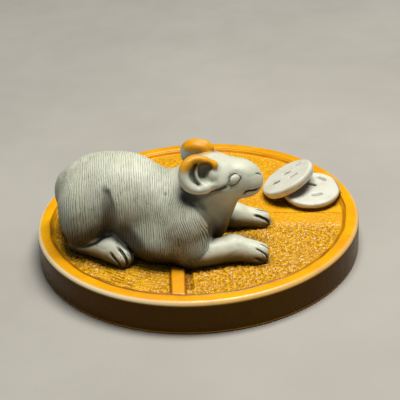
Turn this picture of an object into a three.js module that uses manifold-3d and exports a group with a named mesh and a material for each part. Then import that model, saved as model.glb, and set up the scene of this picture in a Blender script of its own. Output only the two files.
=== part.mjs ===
// A crouching rat and two coins on a thick round disc, carved from one block of layered stone.
// Millimetres, +Z up, the rat looks along +X, the origin is the centre of the underside.
import * as THREE from 'three';
import Module from 'manifold-3d';

// Driving dimensions
const DISC_DIAMETER = 140;
const DISC_HEIGHT = 15;
const EDGE_RADIUS = 2.2;
const FOOT_RADIUS = 1.2;
const RIM_WIDTH = 6.1;
const RIM_SLOPE = 1.1;
const FIELD_DEPTH = 1.5;
const STROKE_RISE = 0.8;
const FRONT_STROKE_WIDTH = 6;
const FRONT_STROKE_LENGTH = 24;
const FRONT_STROKE_OFFSET = -9.3;
const SIDE_STROKE_WIDTH = 10;
const SIDE_STROKE_LENGTH = 37;
const SIDE_STROKE_OFFSET = -6.6;
const SIDE_STROKE_TURN = -4;
const FIGURE_LENGTH = 90;
const FIGURE_OFFSET = -23;
const COIN_DIAMETER = 25;
const COIN_THICKNESS = 3.8;
const COIN_BEVEL = 0.8;
const COIN_WINDOW = 4;
const COIN_WINDOW_DEPTH = 0.7;
const FLAT_COIN_UNDERCUT = 1.3;
const LEANING_COIN_UNDERCUT = 4;
const COIN_ON_RIM = 1.8;
const COIN_BEARING = 12.5;
const LEANING_OVERLAP = 13.2;
const LEANING_BEARING = 154;
const FLAT_COIN_FACING = [-0.022, -0.122, 0.992];
const LEANING_COIN_FACING = [-0.472, 0.072, 0.879];
const FLAT_WINDOW_YAW = -20;
const LEANING_WINDOW_YAW = 25;

// How fine the facets are
const DISC_SEGMENTS = 96;
const COIN_SEGMENTS = 44;
const EDGE_STEPS = 4;
const CARVING_STEP = 1.2;
const CORD_PIECES = 3;
const FIGURE_FACETS = 6000;

// Derived sizes
const DISC_RADIUS = DISC_DIAMETER / 2;
const FIELD_RADIUS = DISC_RADIUS - RIM_WIDTH - RIM_SLOPE;
const FIELD_HEIGHT = DISC_HEIGHT - FIELD_DEPTH;
const SUNK = 0.9;
// The figure is set out in ninetieths of its own length, from under its chin, with Z from the field.
const SHARES_ALONG = 90;
const SHARE = FIGURE_LENGTH / SHARES_ALONG;
// The throat is this much slimmer across than a round bar.
const THROAT_SLIMMING = new THREE.Vector3(1, 1.14, 1);

// Distances to plain shapes, in figure shares

const TINY = 1e-9;

const turn = (yaw, pitch) => new THREE.Matrix4()
  .makeRotationZ(THREE.MathUtils.degToRad(yaw))
  .multiply(new THREE.Matrix4().makeRotationY(THREE.MathUtils.degToRad(-pitch)));

// The matrix that takes a point of the figure into a frame at centre with the given turn.
const into = (centre, matrix) => new THREE.Matrix4()
  .makeTranslation(...centre)
  .multiply(matrix)
  .invert();

function ellipsoid(centre, radii, yaw = 0, pitch = 0) {
  const toLocal = into(centre, turn(yaw, pitch));
  const size = new THREE.Vector3(...radii);
  const smallest = Math.min(...radii);
  const scaled = new THREE.Vector3();
  return (point) => {
    scaled.copy(point).applyMatrix4(toLocal).divide(size);
    const reach = scaled.length();
    const slope = scaled.divide(size).length();
    return slope > TINY ? (reach * (reach - 1)) / slope : -smallest;
  };
}

// A round bar from one ball to another, tapering between their radii.
function limb(start, end, startRadius, endRadius) {
  const from = new THREE.Vector3(...start);
  const along = new THREE.Vector3(...end).sub(from);
  const square = along.lengthSq();
  const taper = startRadius - endRadius;
  const slant = square - taper * taper;
  const offset = new THREE.Vector3();
  const across = new THREE.Vector3();
  return (point) => {
    offset.copy(point).sub(from);
    const before = offset.dot(along);
    const beyond = before - square;
    across.copy(offset).multiplyScalar(square).addScaledVector(along, -before);
    const side = across.lengthSq();
    const turnOver = Math.sign(taper) * taper * taper * side;
    if (Math.sign(beyond) * slant * beyond * beyond * square > turnOver) {
      return Math.sqrt(side + beyond * beyond * square) / square - endRadius;
    }
    if (Math.sign(before) * slant * before * before * square < turnOver) {
      return Math.sqrt(side + before * before * square) / square - startRadius;
    }
    return (Math.sqrt(side * slant / square) + before * taper) / square - startRadius;
  };
}

// A bent round bar along an arc of the given radius, angles in degrees, stretched along its own axis.
function arc(centre, radius, thickness, firstAngle, lastAngle, stretch) {
  const middle = THREE.MathUtils.degToRad((firstAngle + lastAngle) / 2);
  const half = THREE.MathUtils.degToRad((lastAngle - firstAngle) / 2);
  return (point) => {
    const x = point.x - centre[0];
    const y = point.y - centre[1];
    const z = (point.z - centre[2]) / stretch;
    const bend = Math.atan2(y, x) - middle;
    const wrapped = THREE.MathUtils.euclideanModulo(bend + Math.PI, 2 * Math.PI) - Math.PI;
    const held = THREE.MathUtils.clamp(wrapped, -half, half);
    const thick = THREE.MathUtils.lerp(thickness[0], thickness[1], (held + half) / (2 * half));
    const angle = middle + held;
    return Math.hypot(x - radius * Math.cos(angle), y - radius * Math.sin(angle), z) - thick;
  };
}

// Joining and cutting with a rounded seam of the given width

function softer(a, b, width) {
  const overlap = Math.max(width - Math.abs(a - b), 0) / width;
  return Math.min(a, b) - (overlap * overlap * width) / 4;
}

const joined = (base, ...additions) => (point) => additions.reduce(
  (distance, [width, shape]) => softer(distance, shape(point), width),
  base(point),
);

const carved = (base, ...cuts) => (point) => cuts.reduce(
  (distance, [width, shape]) => -softer(-distance, shape(point), width),
  base(point),
);

const CORD_SEAM = 0.2;

// A round cord through the given points, tapering evenly from its first to its last radius.
function cord(points, startRadius, endRadius) {
  const stops = points.map((point) => new THREE.Vector3(...point));
  const path = new THREE.CatmullRomCurve3(stops, false, 'catmullrom');
  const pieces = CORD_PIECES * (points.length - 1);
  const bars = [...Array(pieces).keys()].map((piece) => limb(
    path.getPoint(piece / pieces).toArray(),
    path.getPoint((piece + 1) / pieces).toArray(),
    THREE.MathUtils.lerp(startRadius, endRadius, piece / pieces),
    THREE.MathUtils.lerp(startRadius, endRadius, (piece + 1) / pieces),
  ));
  return joined(bars[0], ...bars.slice(1).map((bar) => [CORD_SEAM, bar]));
}

// An open cup with a rolled edge that ends in a hook at the front, and the hollow that is cut
// through it into the head. Side is -1 near, 1 far.
function ear(centre, side, hook) {
  const outward = new THREE.Vector3(0.2, side * 0.9, 0.4).normalize();
  const upward = new THREE.Vector3(0.02, -side * 0.4, 0.92);
  upward.addScaledVector(outward, -upward.dot(outward)).normalize();
  const forward = new THREE.Vector3().crossVectors(upward, outward).multiplyScalar(-side);
  const toLocal = into(centre, new THREE.Matrix4().makeBasis(forward, upward, outward));
  const cup = carved(
    ellipsoid([-0.3, 0.3, -2.4], [7.2, 7.8, 4]),
    [1, ellipsoid([1, 0.4, 1.2], [5.4, 6, 3.8])],
  );
  const edge = joined(
    arc([0, 0, -0.6], 6.3, [1.6, 1.8], 62, 298, 1.15),
    [1, arc([0.3, 0, -1], 5.7, [1.9, 1.9], 135, 245, 1.2)],
    [1, limb([3, 5.6, -0.6], hook, 1.6, 1.9)],
  );
  const bump = ellipsoid([6.4, -0.6, -2], [2.6, 3.4, 2.6]);
  const lobe = limb([3, -5.5, -0.8], [11, -3.6, -3.6], 1.8, 1.5);
  const stone = joined(cup, [0.5, edge], [1, bump], [2, lobe]);
  const hollow = joined(
    ellipsoid([2.4, 1.4, 0], [2.2, 3.5, 4.6]),
    [1, ellipsoid([3.3, 3, 0], [2.7, 1.8, 4.2])],
  );
  const local = new THREE.Vector3();
  return [stone, hollow].map((shape) => (point) => shape(local.copy(point).applyMatrix4(toLocal)));
}

function foot(heel, ankle, toe, radii) {
  return joined(
    limb(heel, ankle, radii[0], radii[1]),
    [2, limb(ankle, toe, radii[1], radii[2])],
  );
}

function figure() {
  const trunk = joined(
    ellipsoid([-40.5, 15, 18.5], [18.2, 18.6, 18], -28, 4),
    [5, ellipsoid([-53.6, 20, 18.5], [6.5, 7, 9])],
    [6, ellipsoid([-30, 8, 19.4], [20, 19, 20.4], -16, 4)],
    [9, ellipsoid([-8, 1, 14.5], [17, 18.5, 17.5], 0, 6)],
    [5, ellipsoid([-15, -2, 8.5], [20, 17.2, 11], -38)],
    [3, ellipsoid([-34, 27, 15], [13, 10, 16], -30)],
    [1.5, limb([-40, 33, 4], [-23, 31.5, 4], 5, 4.4)],
    [5, ellipsoid([-46.2, 3.6, 14.6], [11.8, 11.6, 16], -30)],
  );
  const crease = cord(
    [[-36.2, -6.4, 30.5], [-36, -9, 26], [-36.2, -10.8, 20], [-36.8, -10.6, 12.5]],
    0.5,
    2.8,
  );
  const undercut = cord(
    [[-53, -4.6, 2.6], [-47.5, -7.8, 5.4], [-43.1, -10, 8], [-38.6, -9.8, 10.4]],
    1.2,
    1.8,
  );
  const haunch = carved(trunk, [2, crease], [1.2, undercut]);
  const tail = cord(
    [[-54, 20, 11], [-56, 31, 5], [-46, 40, 3.2], [-28, 43, 2.6], [-10, 41, 2.2], [4, 35, 1.6]],
    5.4,
    1.5,
  );
  const round = limb([2.5, 0.5, 12], [8, 0.3, 27], 10.5, 10.8);
  const slimmed = new THREE.Vector3();
  const throat = (point) => round(slimmed.copy(point).multiply(THROAT_SLIMMING));
  const neck = joined(throat, [4, limb([-9, 0.5, 19], [3, 0.3, 29.5], 12.5, 11)]);
  const shoulder = (side) => joined(
    ellipsoid([-6, side * 9.8, 13.5], [11, 11.2, 16], -side * 8, -16),
    [4, ellipsoid([-2.5, side * 14.5, 5.5], [8, 7.4, 7])],
  );
  const skull = joined(
    ellipsoid([6, 0.3, 31.4], [12.6, 12.5, 10], 0, -14),
    [4, limb([9, 0.3, 30.8], [20.6, 0, 29.6], 9.6, 7.3)],
  );
  const underCheek = (side) => [1, ellipsoid([4.6, 0.3 + side * 14.6, 24.4], [12.6, 5.6, 7.6], 0, 8)];
  const head = carved(skull, underCheek(-1), underCheek(1));
  const [nearEar, nearHollow] = ear([1.1, -11.2, 39.1], -1, [6.8, 3.7, -1]);
  const [farEar, farHollow] = ear([2.2, 10.2, 38.8], 1, [4.6, 4.4, -1.2]);
  const carving = joined(
    haunch,
    [0.8, foot([-50.2, 1.6, 4], [-36.5, -8.8, 5.5], [-31.5, -12.6, 3.4], [5, 5.2, 4.4])],
    [1.2, tail],
    [5, neck],
    [1.4, shoulder(-1)],
    [1.4, shoulder(1)],
    [1, foot([2, -16, 5], [14, -12.8, 5], [24.2, -14.8, 3.2], [5.4, 5.4, 4.6])],
    [1, foot([2, 16.4, 5.4], [16, 14.7, 4.8], [27.4, 14.2, 2.6], [5.6, 5.2, 3.9])],
    [1.6, head],
    [0.8, nearEar],
    [0.8, farEar],
    [0.4, ellipsoid([15.6, -7.9, 34.1], [2.9, 1.3, 2.1], 35, 12)],
    [0.4, ellipsoid([15.6, 8.5, 34.1], [2.9, 1.3, 2.1], -35, 12)],
  );
  const mouth = ellipsoid([25, 0, 23.6], [7, 8, 0.8], 0, 14);
  const underEar = (side) => cord(
    [[6, side * 13.6, 29.8], [0, side * 14.4, 29.6], [-5, side * 13.6, 30.4]],
    1.2,
    2.2,
  );
  const whole = carved(
    carving,
    [0.6, mouth],
    [1.4, underEar(-1)],
    [1.4, underEar(1)],
    [0.6, nearHollow],
    [0.6, farHollow],
  );
  const foothold = -SUNK / SHARE;
  return (point) => Math.max(whole(point), foothold - point.z);
}

// Turning a distance into facets: one vertex in every grid cell the surface crosses

const CORNERS = [...Array(8).keys()].map((bits) => [bits & 1, (bits >> 1) & 1, (bits >> 2) & 1]);
const CELL_EDGES = CORNERS.flatMap((_, corner) => [1, 2, 4]
  .filter((bit) => !(corner & bit))
  .map((bit) => [corner, corner | bit]));

// Squares of the grid at a point, and the far corners of a cell, by corner number.
const SQUARES = [[0, 1, 3, 2], [0, 2, 6, 4], [0, 1, 5, 4]];
const DIAGONALS = [[0, 7], [1, 6], [2, 5], [3, 4]];

const JUST_INSIDE = -0.05;

// Fills the spots where stone would touch stone only along an edge or at a corner.
function fillPinches(values, counts, index) {
  const corners = CORNERS.map(([x, y, z]) => index(x, y, z));
  const fillOne = (places) => {
    const open = places.filter((place) => values[place] >= 0);
    values[open.reduce((a, b) => (values[a] < values[b] ? a : b))] = JUST_INSIDE;
  };
  let changed = true;
  while (changed) {
    changed = false;
    for (let z = 0; z < counts[2]; z += 1) {
      for (let y = 0; y < counts[1]; y += 1) {
        for (let x = 0; x < counts[0]; x += 1) {
          const at = index(x, y, z);
          const inside = corners.map((corner) => values[at + corner] < 0);
          const total = inside.filter(Boolean).length;
          const crossed = SQUARES.find(([a, b, c, d]) => inside[a] === inside[c]
            && inside[b] === inside[d] && inside[a] !== inside[b]);
          const apart = [2, 6].includes(total)
            && DIAGONALS.some(([a, b]) => inside[a] === inside[b] && inside[a] === (total === 2));
          if (crossed || apart) {
            fillOne((crossed ?? [...Array(8).keys()]).map((corner) => at + corners[corner]));
            changed = true;
          }
        }
      }
    }
  }
}

function facetsOf(distance, box, step) {
  const counts = box.getSize(new THREE.Vector3()).divideScalar(step).ceil().toArray();
  const index = (x, y, z) => (z * (counts[1] + 1) + y) * (counts[0] + 1) + x;
  const values = new Float64Array((counts[0] + 1) * (counts[1] + 1) * (counts[2] + 1));
  const point = new THREE.Vector3();
  const place = (x, y, z) => point.set(x, y, z).multiplyScalar(step).add(box.min);
  for (let z = 0; z <= counts[2]; z += 1) {
    for (let y = 0; y <= counts[1]; y += 1) {
      for (let x = 0; x <= counts[0]; x += 1) {
        values[index(x, y, z)] = distance(place(x, y, z));
      }
    }
  }
  fillPinches(values, counts, index);
  const vertices = [];
  const owner = new Map();
  const crossing = (x, y, z) => {
    const sum = new THREE.Vector3();
    let hits = 0;
    const cell = CORNERS.map(([i, j, k]) => values[index(x + i, y + j, z + k)]);
    for (const [a, b] of CELL_EDGES) {
      if (cell[a] < 0 !== cell[b] < 0) {
        const share = cell[a] / (cell[a] - cell[b]);
        const [from, to] = [CORNERS[a], CORNERS[b]].map((corner) => new THREE.Vector3(...corner));
        sum.add(from.lerp(to, share));
        hits += 1;
      }
    }
    if (hits > 0) {
      sum.divideScalar(hits);
      owner.set(index(x, y, z), vertices.length);
      vertices.push(place(x + sum.x, y + sum.y, z + sum.z).clone());
    }
  };
  for (let z = 0; z < counts[2]; z += 1) {
    for (let y = 0; y < counts[1]; y += 1) {
      for (let x = 0; x < counts[0]; x += 1) {
        crossing(x, y, z);
      }
    }
  }
  const triangles = [];
  const stride = [index(1, 0, 0), index(0, 1, 0), index(0, 0, 1)];
  const quad = (at, axis) => {
    const inside = values[at] < 0;
    if (inside === values[at + stride[axis]] < 0) {
      return;
    }
    const [u, v] = [stride[(axis + 1) % 3], stride[(axis + 2) % 3]];
    const ring = [at, at - u, at - u - v, at - v].map((cell) => owner.get(cell));
    if (!inside) {
      ring.reverse();
    }
    triangles.push([ring[0], ring[1], ring[2]], [ring[0], ring[2], ring[3]]);
  };
  for (let z = 1; z < counts[2]; z += 1) {
    for (let y = 1; y < counts[1]; y += 1) {
      for (let x = 1; x < counts[0]; x += 1) {
        [0, 1, 2].forEach((axis) => quad(index(x, y, z), axis));
      }
    }
  }
  return { vertices, triangles };
}

// Fewer facets: edges are folded away in the order that moves the surface least

class Cheapest {
  constructor() {
    this.items = [];
  }

  push(item) {
    const { items } = this;
    let at = items.push(item) - 1;
    while (at > 0) {
      const parent = (at - 1) >> 1;
      if (items[parent].cost <= items[at].cost) {
        break;
      }
      [items[parent], items[at]] = [items[at], items[parent]];
      at = parent;
    }
  }

  pop() {
    const { items } = this;
    const top = items[0];
    const last = items.pop();
    if (items.length > 0) {
      items[0] = last;
      let at = 0;
      for (;;) {
        let least = at;
        for (const child of [2 * at + 1, 2 * at + 2]) {
          if (child < items.length && items[child].cost < items[least].cost) {
            least = child;
          }
        }
        if (least === at) {
          break;
        }
        [items[least], items[at]] = [items[at], items[least]];
        at = least;
      }
    }
    return top;
  }
}

// Squared distance to planes: matrix, vector and constant.
class Quadric {
  constructor() {
    this.matrix = new THREE.Matrix3().set(0, 0, 0, 0, 0, 0, 0, 0, 0);
    this.vector = new THREE.Vector3();
    this.constant = 0;
  }

  addPlane(normal, through, weight) {
    const d = -normal.dot(through);
    const n = normal.toArray();
    for (let i = 0; i < 9; i += 1) {
      this.matrix.elements[i] += weight * n[i % 3] * n[Math.floor(i / 3)];
    }
    this.vector.addScaledVector(normal, weight * d);
    this.constant += weight * d * d;
  }

  add(other) {
    other.matrix.elements.forEach((value, i) => {
      this.matrix.elements[i] += value;
    });
    this.vector.add(other.vector);
    this.constant += other.constant;
    return this;
  }

  cost(point) {
    const image = point.clone().applyMatrix3(this.matrix);
    return point.dot(image) + 2 * point.dot(this.vector) + this.constant;
  }

  lowest() {
    return this.vector.clone().negate().applyMatrix3(this.matrix.clone().invert());
  }
}

const STEADYING = 0.003;
const LEAST_TURN = 0.3;
const LEAST_AREA = 1e-6;

const normalOf = (a, b, c) => new THREE.Vector3()
  .subVectors(b, a)
  .cross(new THREE.Vector3().subVectors(c, a));

function simplified({ vertices, triangles }, wanted) {
  const points = vertices.map((vertex) => vertex.clone());
  const around = points.map(() => new Set());
  const quadrics = points.map(() => new Quadric());
  const version = points.map(() => 0);
  const faces = triangles.map((corners) => [...corners]);
  faces.forEach((corners, face) => {
    const normal = normalOf(...corners.map((corner) => points[corner]));
    const area = normal.length();
    normal.divideScalar(area);
    corners.forEach((corner) => {
      around[corner].add(face);
      quadrics[corner].addPlane(normal, points[corner], area);
      for (const axis of [[1, 0, 0], [0, 1, 0], [0, 0, 1]]) {
        quadrics[corner].addPlane(new THREE.Vector3(...axis), points[corner], area * STEADYING);
      }
    });
  });
  const neighbours = (vertex) => new Set([...around[vertex]]
    .flatMap((face) => faces[face])
    .filter((other) => other !== vertex));
  const queue = new Cheapest();
  const offer = (a, b) => {
    const merged = new Quadric().add(quadrics[a]).add(quadrics[b]);
    const target = merged.lowest();
    queue.push({ a, b, target, cost: merged.cost(target), stamp: version[a] + version[b] });
  };
  const folds = (vertex, other, target) => [...around[vertex]].some((face) => {
    if (faces[face].includes(other)) {
      return false;
    }
    const corners = faces[face].map((corner) => points[corner]);
    const moved = faces[face].map((corner) => (corner === vertex ? target : points[corner]));
    const [before, after] = [normalOf(...corners), normalOf(...moved)];
    const flipped = before.dot(after) < LEAST_TURN * before.length() * after.length();
    return flipped || after.length() < LEAST_AREA;
  });
  faces.forEach((corners) => corners.forEach((a, i) => {
    const b = corners[(i + 1) % 3];
    if (a < b) {
      offer(a, b);
    }
  }));
  let left = faces.length;
  while (left > wanted && queue.items.length > 0) {
    const { a, b, target, stamp } = queue.pop();
    const current = around[a].size > 0 && around[b].size > 0 && stamp === version[a] + version[b];
    if (!current) {
      continue;
    }
    const shared = [...around[a]].filter((face) => around[b].has(face));
    const ringB = neighbours(b);
    const common = [...neighbours(a)].filter((vertex) => ringB.has(vertex));
    if (shared.length !== 2 || common.length !== 2 || folds(a, b, target) || folds(b, a, target)) {
      continue;
    }
    shared.forEach((face) => faces[face].forEach((corner) => around[corner].delete(face)));
    shared.forEach((face) => {
      faces[face] = null;
    });
    around[b].forEach((face) => {
      faces[face] = faces[face].map((corner) => (corner === b ? a : corner));
      around[a].add(face);
    });
    around[b].clear();
    points[a].copy(target);
    quadrics[a].add(quadrics[b]);
    left -= 2;
    version[a] += 1;
    neighbours(a).forEach((vertex) => {
      offer(Math.min(a, vertex), Math.max(a, vertex));
    });
  }
  return { vertices: points, triangles: faces.filter((corners) => corners !== null) };
}

// Solids of revolution about Z from a list of radius and height, first and last on the axis.
function turned(outline, segments) {
  const vertices = [];
  const rings = outline.map(([radius, height]) => {
    const count = radius > 0 ? segments : 1;
    return [...Array(segments).keys()].map((step) => {
      if (step < count) {
        const angle = (2 * Math.PI * step) / segments;
        vertices.push(new THREE.Vector3(radius * Math.cos(angle), radius * Math.sin(angle), height));
      }
      return vertices.length - 1;
    });
  });
  const triangles = [];
  for (let ring = 1; ring < rings.length; ring += 1) {
    for (let step = 0; step < segments; step += 1) {
      const next = (step + 1) % segments;
      const [a, b] = [rings[ring - 1][step], rings[ring - 1][next]];
      const [c, d] = [rings[ring][next], rings[ring][step]];
      triangles.push([a, b, c], [a, c, d]);
    }
  }
  return { vertices, triangles: triangles.filter(([a, b, c]) => a !== b && b !== c && c !== a) };
}

function block(width, depth, height, centre, yaw = 0) {
  const placing = new THREE.Matrix4().makeRotationZ(THREE.MathUtils.degToRad(yaw)).setPosition(...centre);
  const corners = CORNERS.map(([x, y, z]) => new THREE.Vector3(x - 0.5, y - 0.5, z - 0.5)
    .multiply(new THREE.Vector3(width, depth, height))
    .applyMatrix4(placing));
  const sides = [[0, 2, 3, 1], [4, 5, 7, 6], [0, 1, 5, 4], [2, 6, 7, 3], [0, 4, 6, 2], [1, 3, 7, 5]];
  return {
    vertices: corners,
    triangles: sides.flatMap(([a, b, c, d]) => [[a, b, c], [a, c, d]]),
  };
}

const placed = ({ vertices, triangles }, matrix) => ({
  vertices: vertices.map((vertex) => vertex.clone().applyMatrix4(matrix)),
  triangles,
});

const quarterRound = (radius, height, size, firstAngle) => [...Array(EDGE_STEPS + 1).keys()].map((step) => {
  const angle = firstAngle + (Math.PI / 2) * (step / EDGE_STEPS);
  return [radius + size * Math.cos(angle), height + size * Math.sin(angle)];
});

function disc() {
  return turned([
    [0, 0],
    ...quarterRound(DISC_RADIUS - FOOT_RADIUS, FOOT_RADIUS, FOOT_RADIUS, -Math.PI / 2),
    ...quarterRound(DISC_RADIUS - EDGE_RADIUS, DISC_HEIGHT - EDGE_RADIUS, EDGE_RADIUS, 0),
    [DISC_RADIUS - RIM_WIDTH, DISC_HEIGHT],
    [FIELD_RADIUS, FIELD_HEIGHT],
    [0, FIELD_HEIGHT],
  ], DISC_SEGMENTS);
}

// A coin that touches the field with its lowest edge, on a stem of stone that holds it to the field.
function coin([x, y], normal, windowYaw, stemLength, undercut) {
  const radius = COIN_DIAMETER / 2;
  const up = new THREE.Vector3(...normal).normalize();
  const height = FIELD_HEIGHT + radius * Math.hypot(up.x, up.y) + COIN_THICKNESS * up.z;
  const face = turned([
    [0, -COIN_THICKNESS],
    [radius - COIN_BEVEL, -COIN_THICKNESS],
    [radius, COIN_BEVEL - COIN_THICKNESS],
    [radius, -COIN_BEVEL],
    [radius - COIN_BEVEL, 0],
    [0, 0],
  ], COIN_SEGMENTS);
  const stem = turned([
    [0, -COIN_THICKNESS - stemLength],
    [radius - undercut, -COIN_THICKNESS - stemLength],
    [radius - undercut, -COIN_THICKNESS / 2],
    [0, -COIN_THICKNESS / 2],
  ], COIN_SEGMENTS);
  const window = block(COIN_WINDOW, COIN_WINDOW, 2 * COIN_WINDOW_DEPTH, [0, 0, 0], windowYaw);
  const tilt = new THREE.Quaternion().setFromUnitVectors(new THREE.Vector3(0, 0, 1), up);
  const matrix = new THREE.Matrix4().makeRotationFromQuaternion(tilt).setPosition(x, y, height);
  return { face: placed(face, matrix), stem: placed(stem, matrix), window: placed(window, matrix) };
}

const wasm = await Module();
wasm.setup();

function solid({ vertices, triangles }) {
  return new wasm.Manifold(new wasm.Mesh({
    numProp: 3,
    vertProperties: new Float32Array(vertices.flatMap((vertex) => vertex.toArray())),
    triVerts: new Uint32Array(triangles.flat()),
  }));
}

function carving() {
  const reach = new THREE.Box3(new THREE.Vector3(-65, -26, -3), new THREE.Vector3(34, 50, 52));
  const fine = facetsOf(figure(), reach, CARVING_STEP);
  const placing = new THREE.Matrix4()
    .makeTranslation(0, FIGURE_OFFSET, FIELD_HEIGHT)
    .multiply(new THREE.Matrix4().makeScale(SHARE, SHARE, SHARE));
  return solid(placed(simplified(fine, FIGURE_FACETS), placing));
}

// Smooth raised strokes of the field, in from the rim in front of the figure and beside it.
function strokes() {
  const depth = DISC_HEIGHT / 2;
  const height = FIELD_HEIGHT + STROKE_RISE - depth / 2;
  const rim = DISC_RADIUS - RIM_WIDTH;
  const front = block(
    FRONT_STROKE_WIDTH,
    FRONT_STROKE_LENGTH,
    depth,
    [FRONT_STROKE_OFFSET, FRONT_STROKE_LENGTH / 2 - rim, height],
  );
  const side = block(
    SIDE_STROKE_LENGTH,
    SIDE_STROKE_WIDTH,
    depth,
    [rim - SIDE_STROKE_LENGTH / 2, SIDE_STROKE_OFFSET, height],
    SIDE_STROKE_TURN,
  );
  return [front, side].map(solid);
}

const outFrom = ([x, y], distance, bearing) => [
  x + distance * Math.cos(THREE.MathUtils.degToRad(bearing)),
  y + distance * Math.sin(THREE.MathUtils.degToRad(bearing)),
];

function build() {
  const coinRadius = COIN_DIAMETER / 2;
  const flatPlace = outFrom([0, 0], FIELD_RADIUS + COIN_ON_RIM - coinRadius, COIN_BEARING);
  const leaningPlace = outFrom(flatPlace, COIN_DIAMETER - LEANING_OVERLAP, LEANING_BEARING);
  const coins = [
    coin(flatPlace, FLAT_COIN_FACING, FLAT_WINDOW_YAW, COIN_THICKNESS, FLAT_COIN_UNDERCUT),
    coin(leaningPlace, LEANING_COIN_FACING, LEANING_WINDOW_YAW, 2 * COIN_THICKNESS, LEANING_COIN_UNDERCUT),
  ];
  const limit = solid(turned([
    [0, 0],
    [DISC_RADIUS - RIM_WIDTH, 0],
    [DISC_RADIUS - RIM_WIDTH, DISC_HEIGHT],
    [0, DISC_HEIGHT],
  ], DISC_SEGMENTS));
  let stone = solid(disc());
  strokes().forEach((stroke) => {
    stone = stone.add(stroke.intersect(limit));
  });
  coins.forEach(({ face, stem }) => {
    stone = stone.add(solid(stem)).add(solid(face));
  });
  coins.forEach(({ window }) => {
    stone = stone.subtract(solid(window));
  });
  return stone.add(carving());
}

function mesh(manifold, name, colour) {
  const { vertProperties, triVerts } = manifold.getMesh();
  const geometry = new THREE.BufferGeometry();
  geometry.setAttribute('position', new THREE.BufferAttribute(new Float32Array(vertProperties), 3));
  geometry.setIndex(new THREE.BufferAttribute(new Uint32Array(triVerts), 1));
  const material = new THREE.MeshStandardMaterial({ color: colour, roughness: 0.55, metalness: 0 });
  const result = new THREE.Mesh(geometry, material);
  result.name = name;
  return result;
}

const group = new THREE.Group();
group.name = 'carved_rat';
group.add(mesh(build(), 'carved_rat_with_coins', 0xd69e38));
export default group;
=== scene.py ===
"""A crouching rat and two coins on a thick round disc, carved from one block of layered stone."""
import math

import bpy
import numpy as np
from mathutils import Matrix, Vector


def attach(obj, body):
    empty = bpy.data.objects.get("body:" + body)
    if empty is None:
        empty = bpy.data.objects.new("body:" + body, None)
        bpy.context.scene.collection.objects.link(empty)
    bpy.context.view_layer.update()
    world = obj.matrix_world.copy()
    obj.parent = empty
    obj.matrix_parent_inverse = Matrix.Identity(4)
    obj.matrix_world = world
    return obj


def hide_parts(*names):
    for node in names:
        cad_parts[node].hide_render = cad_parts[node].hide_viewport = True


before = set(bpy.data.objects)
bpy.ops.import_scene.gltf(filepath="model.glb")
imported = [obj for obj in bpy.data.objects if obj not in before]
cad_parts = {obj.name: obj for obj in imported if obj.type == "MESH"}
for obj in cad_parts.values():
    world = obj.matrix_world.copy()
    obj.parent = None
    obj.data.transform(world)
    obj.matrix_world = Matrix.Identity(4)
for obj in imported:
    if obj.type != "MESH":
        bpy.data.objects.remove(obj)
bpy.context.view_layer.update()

MM = 0.001

# Sizes in millimetres, the same as the solid's
DISC_RADIUS = 70.0
DISC_HEIGHT = 15.0
EDGE_RADIUS = 2.2
FOOT_RADIUS = 1.2
FIELD_RADIUS = 62.8
FIELD_HEIGHT = 13.5
FIGURE_PLACE = np.array([0.0, -23.0, FIELD_HEIGHT], np.float32)
FIGURE_SUNK = -0.9
COIN_RADIUS = 12.5
COIN_THICKNESS = 3.8

# Facets, and the box that the rat is sampled in
FIGURE_STEP = 0.34
FIGURE_BOX = np.array([[-65.0, -26.0, -3.0], [34.0, 50.0, 52.0]])
COARSE_CELLS = 8
# A block of cells is sampled finely where the surface may be this many half diagonals away
BLOCK_MARGIN = 1.6
FIGURE_FACES = 88000
FIELD_FACET = 0.6
COIN_SEGMENTS = 132
COIN_FACET = 0.4
DISC_SIDE_STEPS = 3
STEM_STEPS = 4


# Distances to plain shapes

def turned(yaw=0.0, pitch=0.0):
    """Axes in columns, turned about Z by yaw and nose up by pitch, in degrees."""
    a, b = math.radians(yaw), math.radians(pitch)
    about_z = np.array([[math.cos(a), -math.sin(a), 0], [math.sin(a), math.cos(a), 0], [0, 0, 1]])
    about_y = np.array([[math.cos(b), 0, -math.sin(b)], [0, 1, 0], [math.sin(b), 0, math.cos(b)]])
    return (about_z @ about_y).astype(np.float32)


def ellipsoid(centre, radii, yaw=0.0, pitch=0.0):
    axes = turned(yaw, pitch)
    centre = np.array(centre, np.float32)
    radii = np.array(radii, np.float32)

    def distance(points):
        scaled = ((points - centre) @ axes) / radii
        reach = np.sqrt((scaled ** 2).sum(1))
        slope = np.sqrt(((scaled / radii) ** 2).sum(1))
        return reach * (reach - 1) / np.maximum(slope, 1e-6)
    return distance


def limb(start, end, start_radius, end_radius):
    """A round bar from one ball to another."""
    start = np.array(start, np.float32)
    along = np.array(end, np.float32) - start
    square = float(along @ along)
    taper = start_radius - end_radius
    slant = square - taper * taper

    def distance(points):
        offset = points - start
        before = offset @ along
        beyond = before - square
        side = ((offset * square - before[:, None] * along) ** 2).sum(1)
        over = np.sign(taper) * taper * taper * side
        middle = (np.sqrt(side * slant / square) + before * taper) / square - start_radius
        low = np.sqrt(side + before * before * square) / square - start_radius
        high = np.sqrt(side + beyond * beyond * square) / square - end_radius
        result = np.where(np.sign(before) * slant * before * before * square < over, low, middle)
        return np.where(np.sign(beyond) * slant * beyond * beyond * square > over, high, result)
    return distance


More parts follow.
